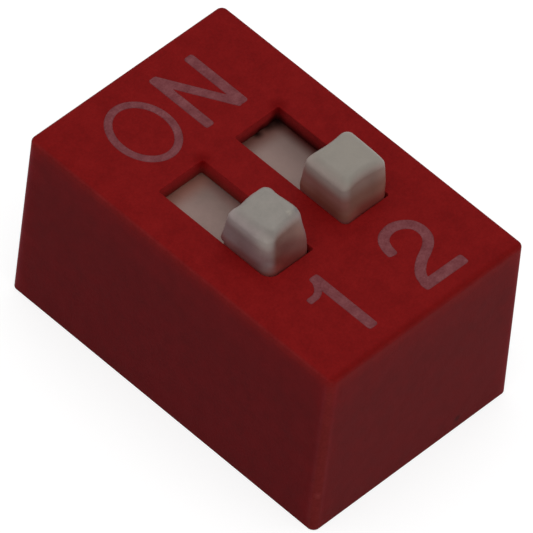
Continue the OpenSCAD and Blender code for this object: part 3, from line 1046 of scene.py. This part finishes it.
# Painted shadow beside knob 2, painted shade at the slots' far corners and low at slot 2's far wall, a fleck
# low on the number side, a nick on an edge
RED_SHADOWS_AND_MARKS = [
    ((0.3, -1.2, 5.25), 1.1, (0.88, 0.7, 0.7)),
    ((-0.6, 1.83, 5.23), 0.35, (0.72, 0.15, 0.2)),
    ((1.9, 1.83, 5.2), 0.35, (0.72, 0.15, 0.2)),
    ((1.75, 1.8, 4.84), 0.35, (0.15, 0.1, 0.1)),
    ((1.35, 1.8, 4.82), 0.25, (0.2, 0.1, 0.1)),
    ((1.52, -5.0, 0.34), 0.16, (0.45, 0.45, 0.4)),
    ((-3.21, -4.98, 1.22), 0.16, (1.35, 2.2, 2.2)),
]


def red_paint(tree, place):
    """Cloudy red times the painted light and shade of the place, from the slots outwards."""
    where = add(tree, "ShaderNodeSeparateXYZ", [("Vector", place)]).outputs
    beside, along = (maths(tree, "ABSOLUTE", where[axis]) for axis in "XY")
    tone, outer = slot_painted_shade(tree, where), outer_painted_light(tree, where)
    for value, reach in zip((beside, along), SLOTS_REACH):
        tone = mixed(tree, smooth_step(tree, value, reach, reach + REACH_FADE), tone, outer)
    over = maths(tree, "MAXIMUM", where["Z"], UPRIGHTS[2])
    folded = add(tree, "ShaderNodeCombineXYZ", [("X", beside), ("Y", along), ("Z", over)]).outputs["Vector"]
    tone = spotted(tree, folded, tone, [(UPRIGHTS, reach, factor) for reach, factor in UPRIGHT_HIGHLIGHTS])
    tone = mixed(tree, smooth_step(tree, where["Z"], FACE_START, FACE_FULL), tone, (1.0, 1.0, 1.0))
    tone = spotted(tree, place, tone, RED_SHADOWS_AND_MARKS)
    span_y, span_z, factor = NUMBER_RIM_SHADE
    tone = toned(tree, both_steps(tree, where["Y"], span_y, where["Z"], span_z), tone, factor)
    return mixed(tree, 1.0, tinted(tree, place, RED_COLOURS, (0.45, 0.35), (0.055, 0.4)), tone, "MULTIPLY")


RED = moulded("red_plastic", red_paint, (0.05, 0.006), (0.5, 0.006), 0.55, 0.038)
print("red nodes:", len(RED.node_tree.nodes))

# %% [markdown]
# ## Off-white plastic
#
# The sliders are an unpigmented plastic, warm grey-white and slightly waxy: light goes a little
# way in and takes on the red of the cover around them. That light and shade is painted into their
# colour, with painted red light reflected from the cover: dim and reddish low in the slot, pink at
# the knob's foot, warm up its sides and grey on top. Knob 1 has seen a blade, and is a little dirtier.

# %% Tones of the sliders
# Painted light and shade by height up each knob's side at -X ("long") and number side; "tilt" lets the
# second kind rise along X too, and "right" is its painted light at the far end. Then the plate in the
# slot: plain, with painted red light, then painted shade: dim, beside the wall at +X and at the far end.
WHITE_SHADED_TONES = {
    1: {"long": [(5.18, (0.25, 0.05, 0.045)), (5.33, (0.215, 0.075, 0.075)), (5.55, (0.26, 0.155, 0.157)),
                 (5.8, (0.28, 0.188, 0.188)), (6.1, (0.36, 0.29, 0.28)), (6.42, (0.238, 0.216, 0.193))],
        "number": [(5.18, (0.2, 0.03, 0.026)), (5.33, (0.17, 0.032, 0.026)), (5.75, (0.178, 0.07, 0.06)),
                   (6.1, (0.245, 0.14, 0.115)), (6.35, (0.265, 0.185, 0.157)),
                   (6.45, (0.236, 0.214, 0.185))],
        "tilt": 0.45, "right": 1.3, "plate": (0.245, 0.168, 0.148), "plate_dim_shade": (0.17, 0.115, 0.1),
        "plate_wall_shade": (0.15, 0.08, 0.07), "plate_end_shade": (0.19, 0.08, 0.06)},
    2: {"long": [(5.18, (0.25, 0.05, 0.045)), (5.33, (0.195, 0.053, 0.037)), (5.5, (0.22, 0.078, 0.06)),
                 (5.75, (0.295, 0.13, 0.112)), (6.1, (0.37, 0.295, 0.265)), (6.42, (0.238, 0.214, 0.184))],
        "number": [(5.18, (0.2, 0.03, 0.026)), (5.33, (0.195, 0.043, 0.033)), (5.7, (0.225, 0.11, 0.083)),
                   (6.1, (0.28, 0.185, 0.155)), (6.3, (0.265, 0.195, 0.17)), (6.43, (0.236, 0.214, 0.183))],
        "tilt": 0.1, "right": 1.6, "plate": (0.245, 0.168, 0.148), "plate_dim_shade": (0.155, 0.102, 0.09),
        "plate_wall_shade": (0.055, 0.01, 0.008), "plate_end_shade": (0.11, 0.042, 0.032)},
}
# Spots: place from the knob's middle at the cover's face, reach, factor. Most are painted light and
# shade at the knob's corners and foot; knob 1 also has two painted highlights of glossy lumps and two
# dark specks on top. The last three of knob 2 are painted shade on its plate, at the far end of the slot.
WHITE_SHADE_GLINT_SPECK_SPOTS = {
    1: [((-0.68, -0.45, 0.7), 0.5, (1.35, 1.5, 1.4)), ((-0.6, -0.65, 1.05), 0.55, (0.75, 0.75, 0.73)),
        ((-0.6, -0.72, 0.05), 0.4, (1.5, 2.3, 2.2)), ((-0.7, 0.6, 0.2), 0.5, (1.2, 1.5, 1.5)),
        ((-0.48, -0.78, 0.48), 0.28, (1.1, 1.5, 1.35)), ((-0.7, -0.46, 0.03), 0.25, (1.1, 1.5, 1.5)),
        ((0.26, -0.3, 1.16), 0.12, (1.3, 1.3, 1.25)), ((-0.7, -0.08, 1.05), 0.14, (1.25, 1.25, 1.25)),
        ((-0.66, -0.36, 1.05), 0.13, (0.78, 0.8, 0.78)), ((0.5, -0.3, 1.08), 0.12, (0.75, 0.78, 0.85))],
    2: [((-0.6, -0.65, 1.15), 0.4, (0.85, 0.88, 0.86)), ((-0.6, -0.72, 0.05), 0.4, (1.4, 2.1, 2.1)),
        ((-0.7, 0.6, 0.2), 0.5, (1.25, 1.6, 1.7)), ((0.6, 2.75, -0.45), 0.4, (0.1, 0.05, 0.05)),
        ((0.3, 2.85, -0.45), 0.3, (0.1, 0.05, 0.05)), ((-0.05, 2.8, -0.45), 0.22, (0.1, 0.05, 0.05))],
}
print("spots:", {number: len(spots) for number, spots in WHITE_SHADE_GLINT_SPECK_SPOTS.items()})

# %% [markdown]
# The painted light and shade of the plate and of the knob are made apart and joined by height, just
# below the cover's face. Where a knob's two lists of painted tones meet, the value that its skin
# carries says how much of each shows.

# %% Off-white plastic
PLATE_TO_KNOB = (4.95, 5.15)     # heights between which the plate's tone gives way to the knob's
WHITE_CLOUDS = ((0.72, 0.75, 0.74), (1.2, 1.2, 1.2))     # factors of the dark and the light clouds
DIRT = {1: 0.1, 2: 0.0}


def plate_painted_shade(tree, where, number):
    """Painted shade of the plate: dimmer towards the slot's wall at +X and towards its far end."""
    tones, sizes = WHITE_SHADED_TONES[number], POSITIONS[number]
    wall_x, end_y = sizes["x"] + sizes["slot"][0], sizes["slot"][1]
    tone = tones["plate"]
    for axis, start, end, name in (("X", wall_x - 1.4, wall_x - 0.3, "plate_dim_shade"),
                                   ("X", wall_x - 0.45, wall_x - 0.08, "plate_wall_shade"),
                                   ("Y", end_y - 0.6, end_y, "plate_end_shade")):
        tone = mixed(tree, smooth_step(tree, where[axis], start, end), tone, tones[name])
    return tone


def knob_painted_light(tree, where, number):
    """Painted light and shade of the knob: two lists of tones by height, joined by the skin's own share of
    each.

    On the number side the height is taken as z + tilt * (x - middle of the knob).
    """
    tones, x = WHITE_SHADED_TONES[number], POSITIONS[number]["x"]
    share = add(tree, "ShaderNodeAttribute", attribute_name="number_side").outputs["Fac"]
    rise = maths(tree, "MULTIPLY_ADD", where["X"], tones["tilt"], -tones["tilt"] * x)
    long_tone = tone_by_height(tree, where["Z"], tones["long"])
    number_tone = tone_by_height(tree, maths(tree, "ADD", where["Z"], rise), tones["number"])
    right = smooth_step(tree, where["X"], x + 0.1, x + 0.65)
    return mixed(tree, share, long_tone, toned(tree, right, number_tone, (tones["right"],) * 3))


def white_paint(tree, place, number):
    """Off-white with painted light and shade that follow the place, this knob's spots, and its dirt."""
    where = add(tree, "ShaderNodeSeparateXYZ", [("Vector", place)]).outputs
    tone = mixed(tree, smooth_step(tree, where["Z"], *PLATE_TO_KNOB),
                 plate_painted_shade(tree, where, number), knob_painted_light(tree, where, number))
    middle = (POSITIONS[number]["x"], POSITIONS[number]["y"], BODY_H)
    tone = spotted(tree, place, tone, WHITE_SHADE_GLINT_SPECK_SPOTS[number], middle)
    darker, lighter = (mixed(tree, 1.0, tone, factor, "MULTIPLY") for factor in WHITE_CLOUDS)
    dirt = DIRT[number]
    return tinted(tree, place, (tone, darker, lighter), (0.35, 0.12 + dirt), (0.07, 0.06 + 0.5 * dirt))


def white_plastic(name, number):
    """The off-white finish of one slider."""
    return moulded(name, lambda tree, place: white_paint(tree, place, number),
                   (0.07, 0.002 + 0.01 * DIRT[number]), (0.25, 0.004), 0.42, 0.2)


# Each slider's material carries its own painted light and shade; knob 1's is also a little dirtier.
WHITE = {1: white_plastic("white_plastic_shaded_worn", 1), 2: white_plastic("white_plastic", 2)}
print("white nodes:", {number: len(material.node_tree.nodes) for number, material in WHITE.items()})

# %% [markdown]
# ## Ink and black plastic
#
# The ink is thin, so the red shines through it: pink-grey and blotchy. The base is a black
# glass-filled plastic, dull and slightly mottled.

# %% Ink and base
def srgb(red, green, blue):
    """A colour written as screen values from 0 to 255, as the linear one that a shader needs."""
    share = np.array([red, green, blue]) / 255
    linear = np.where(share <= 0.04045, share / 12.92, ((share + 0.055) / 1.055) ** 2.4)
    return (*linear.tolist(), 1.0)


INK_COLOURS = (srgb(106, 52, 56), srgb(92, 38, 42), srgb(120, 67, 70))
BLACK_COLOURS = ((0.012, 0.012, 0.013, 1), (0.008, 0.008, 0.009, 1), (0.022, 0.022, 0.023, 1))
INK = moulded("printed_ink",
              lambda tree, place: tinted(tree, place, INK_COLOURS, (0.25, 0.6), (0.05, 0.5)),
              (0.05, 0.003), (0.3, 0.0), 0.6, 0.12)
BLACK = moulded("black_plastic",
                lambda tree, place: tinted(tree, place, BLACK_COLOURS, (0.6, 0.4), (0.08, 0.6)),
                (0.07, 0.005), (0.6, 0.006), 0.5, 0.5)
print("ink:", np.round(INK_COLOURS[0][:3], 4).tolist())

# %% [markdown]
# ## Tin and gold
#
# The pins are stamped from strip and tin plated: dull silver with faint rolling lines along the
# strip. The contact springs inside are bronze with a thin gold layer.

# %% Terminals and contact springs
TIN_COLOURS = ((0.5, 0.5, 0.48, 1), (0.36, 0.36, 0.35, 1), (0.62, 0.62, 0.6, 1))
GOLD_COLOURS = ((0.62, 0.36, 0.09, 1), (0.5, 0.27, 0.06, 1), (0.72, 0.46, 0.15, 1))
ROLLED_STRETCH = (9.0, 0.6, 0.6)
ROLLED_DEPTH = 0.002


def rolled_metal(name, colours, roughness):
    """Metal strip: streaks that are narrow along X roughen it, under an uneven tint."""
    material, tree, shader, place = new_material(name)
    tree.links.new(tinted(tree, place, colours, (0.7, 0.5), (0.05, 0.3)), shader.inputs["Base Color"])
    stretch = add(tree, "ShaderNodeMapping", [("Vector", place), ("Scale", ROLLED_STRETCH)])
    streaks = noise(tree, stretch.outputs[0], 2.2, 3.0)
    rough = spread(tree, streaks, 0.3, 0.7, roughness - 0.08, roughness + 0.12)
    tree.links.new(rough, shader.inputs["Roughness"])
    bump(tree, shader, maths(tree, "MULTIPLY", streaks, ROLLED_DEPTH))
    shader.inputs["Metallic"].default_value = 1.0
    return material


TIN = rolled_metal("tin_plate", TIN_COLOURS, 0.36)
GOLD = rolled_metal("gold_plate", GOLD_COLOURS, 0.28)
print("metals:", TIN.name, GOLD.name)

# %% [markdown]
# ## Dressing the pieces
#
# Each new skin takes the place of its solid, which is hidden, moves with its body and gets its
# finish. The solids whose shape is right, the base, terminals and contact springs, keep their own
# mesh and only get a finish through their material slots.

# %% Give each piece its finish and its body
def dress(piece, material):
    """Gives a piece one material in place of those it has."""
    piece.data.materials.clear()
    piece.data.materials.append(material)


dress(cover_skin, RED)
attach(cover_skin, "housing")
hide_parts("cover")

for number, piece in slider_skins.items():
    dress(piece, WHITE[number])
    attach(piece, f"switch_{number}")
    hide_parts(f"slider_{number}")

for piece in legends:
    dress(piece, INK)
    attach(piece, "housing")

FINISHES = {"base": BLACK, "terminal": TIN, "contact_bridge": GOLD}
for node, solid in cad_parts.items():
    for start, material in FINISHES.items():
        if node.startswith(start):
            dress(solid, material)
print("dressed:", len(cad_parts), "solids")

# %% [markdown]
# ## Floor, sky and lamp
#
# The switch sits with its rim on a pale surface, as on a board, and its pins reach through. The
# surface shows white to the camera and in reflections, fades out into the white sky around it,
# and isn't there for a look from below. The sky's light is strongest straight above and below,
# weak at the horizon and a little stronger on the number end's side. One large soft lamp hangs
# over the switch. A level face then renders about as its colour is written, and the upright
# faces get less than half of that.

# %% The floor
FLOOR_RADIUS = 60
FLOOR_CORNERS = 64
FLOOR_FADE = (0.3, 0.9)
FLOOR_DROP = 0.02
FLOOR_COLOUR = 0.34
FLOOR_LIFT = 0.73
WHITE_LIGHT = (1, 1, 1, 1)


def seen_directly(tree):
    """1 for what camera, glossy and transmission rays meet, 0 for rays that only carry light."""
    path = add(tree, "ShaderNodeLightPath").outputs
    seen = maths(tree, "MAXIMUM", path["Is Camera Ray"], path["Is Glossy Ray"])
    return maths(tree, "MAXIMUM", seen, path["Is Transmission Ray"])


def floor_material():
    """Grey for light and white when seen directly; clear towards the edge and from below."""
    material = bpy.data.materials.new("pale_floor")
    tree = empty_tree(material)
    diffuse = add(tree, "ShaderNodeBsdfDiffuse", [("Color", (FLOOR_COLOUR,) * 3 + (1,))])
    lift = maths(tree, "MULTIPLY", seen_directly(tree), FLOOR_LIFT)
    glow = add(tree, "ShaderNodeEmission", [("Color", WHITE_LIGHT), ("Strength", lift)])
    pale = add(tree, "ShaderNodeAddShader", [(0, diffuse.outputs[0]), (1, glow.outputs[0])])
    clear = add(tree, "ShaderNodeBsdfTransparent")
    place = add(tree, "ShaderNodeTexCoord").outputs["Object"]
    away = add(tree, "ShaderNodeVectorMath", [(0, place)], operation="LENGTH").outputs["Value"]
    fade_start, fade_end = (share * FLOOR_RADIUS * MM for share in FLOOR_FADE)
    fade = spread(tree, away, fade_start, fade_end, 0.0, 1.0)
    hidden = maths(tree, "MAXIMUM", fade, add(tree, "ShaderNodeNewGeometry").outputs["Backfacing"])
    surface = add(tree, "ShaderNodeMixShader", [(0, hidden), (1, pale.outputs[0]), (2, clear.outputs[0])])
    add(tree, "ShaderNodeOutputMaterial", [("Surface", surface.outputs[0])])
    return material


def make_floor():
    """Disc just under the rim."""
    angle = np.linspace(0, 2 * math.pi, FLOOR_CORNERS + 1)[:-1]
    rim = np.stack([FLOOR_RADIUS * np.cos(angle), FLOOR_RADIUS * np.sin(angle), 0 * angle - FLOOR_DROP],
                   axis=1)
    floor = new_piece("floor", rim, [list(range(FLOOR_CORNERS))])
    dress(floor, floor_material())


make_floor()
print("floor:", FLOOR_RADIUS, "mm in radius")

# %% Sky and lamp
SKY_ZENITH = 1.65
SKY_HORIZON = 0.05
SKY_TOWARDS_NUMBERS = 0.25
LAMP_SHARE = 0.15
LAMP_DISTANCE = 300
LAMP_SIZE = 260
LAMP_LEAN = (-0.09, 0.05)


def make_sky():
    """White when seen directly; its light is (zenith * z ** 2 + horizon) * (1 - share * y)."""
    world = bpy.data.worlds.new("studio")
    bpy.context.scene.world = world
    tree = empty_tree(world)
    direction = add(tree, "ShaderNodeTexCoord").outputs["Generated"]
    towards = add(tree, "ShaderNodeSeparateXYZ", [("Vector", direction)]).outputs
    square = maths(tree, "MULTIPLY", towards["Z"], towards["Z"])
    level = maths(tree, "MULTIPLY_ADD", square, SKY_ZENITH, SKY_HORIZON)
    more = maths(tree, "MULTIPLY_ADD", towards["Y"], -SKY_TOWARDS_NUMBERS, 1.0)
    strengths = (maths(tree, "MULTIPLY", level, more), 1.0)
    light, white = (add(tree, "ShaderNodeBackground", [("Color", WHITE_LIGHT), ("Strength", strength)])
                    for strength in strengths)
    mix = add(tree, "ShaderNodeMixShader", [(0, seen_directly(tree)), (1, light.outputs[0]),
                                            (2, white.outputs[0])])
    add(tree, "ShaderNodeOutputWorld", [("Surface", mix.outputs[0])])


def make_lamp():
    """Square lamp whose share of the light on a level face is LAMP_SHARE.

    A lamp of power P at distance d gives a white level face a brightness of P / (pi * d) ** 2.
    """
    data = bpy.data.lights.new("soft_lamp", "AREA")
    data.shape = "SQUARE"
    data.size = LAMP_SIZE * MM
    data.energy = LAMP_SHARE * (math.pi * LAMP_DISTANCE * MM) ** 2
    towards = np.array([*LAMP_LEAN, 1.0])
    towards /= np.linalg.norm(towards)
    return stand(data, towards * LAMP_DISTANCE, towards, [0, 1, 0])


make_sky()
lamp = make_lamp()
print(f"lamp: {lamp.data.energy:.4f} W")
